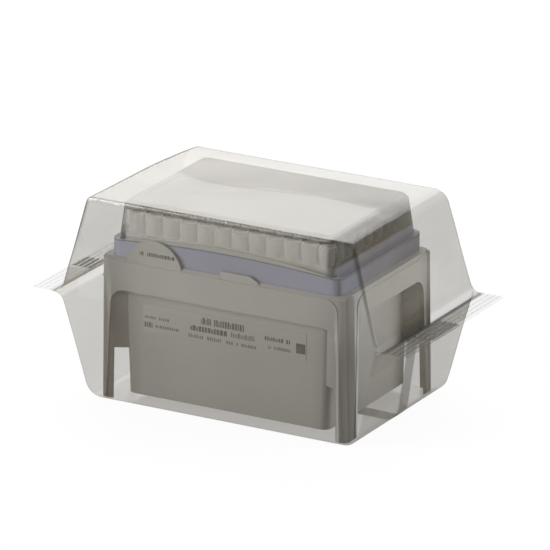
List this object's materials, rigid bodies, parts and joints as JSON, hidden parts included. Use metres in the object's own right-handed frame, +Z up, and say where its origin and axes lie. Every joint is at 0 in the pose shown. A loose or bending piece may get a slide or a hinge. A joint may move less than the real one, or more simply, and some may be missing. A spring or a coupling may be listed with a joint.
{
  "type": "box of pipette tips",
  "caption": "Sealed box of pipette tips: a clear film wrap with crimped ends round a legged base, a tray that holds the tips in rows, and a clear lid.",
  "frame": {"origin": "centre of the rectangle that the pack covers, at its underside", "axes": "+X along the length to the right end seal, -Y out of the labelled front face, +Z up"},
  "size_m": [0.196, 0.0934, 0.097],
  "materials": {
    "film": "clear film, slightly grey, with pressed ridges at the end seals",
    "base_plastic": "warm grey moulded plastic, satin",
    "tray_plastic": "blue-violet moulded plastic, satin",
    "lid_plastic": "clear grey moulded plastic",
    "label_stock": "sticker in nearly the same grey as the base",
    "tip_plastic": "natural translucent plastic",
    "filter_plastic": "white porous plastic"
  },
  "bodies": {
    "root": {"film_wrap": "film", "base": "base_plastic", "tip_tray": "tray_plastic", "lid": "lid_plastic", "front_label": "label_stock", "tips_column_01": "tip_plastic", "tips_column_02": "tip_plastic", "tips_column_03": "tip_plastic", "tips_column_04": "tip_plastic", "tips_column_05": "tip_plastic", "tips_column_06": "tip_plastic", "tips_column_07": "tip_plastic", "tips_column_08": "tip_plastic", "tips_column_09": "tip_plastic", "tips_column_10": "tip_plastic", "tips_column_11": "tip_plastic", "tips_column_12": "tip_plastic", "filters_column_01": "filter_plastic", "filters_column_02": "filter_plastic", "filters_column_03": "filter_plastic", "filters_column_04": "filter_plastic", "filters_column_05": "filter_plastic", "filters_column_06": "filter_plastic", "filters_column_07": "filter_plastic", "filters_column_08": "filter_plastic", "filters_column_09": "filter_plastic", "filters_column_10": "filter_plastic", "filters_column_11": "filter_plastic", "filters_column_12": "filter_plastic"}
  },
  "joints": []
}
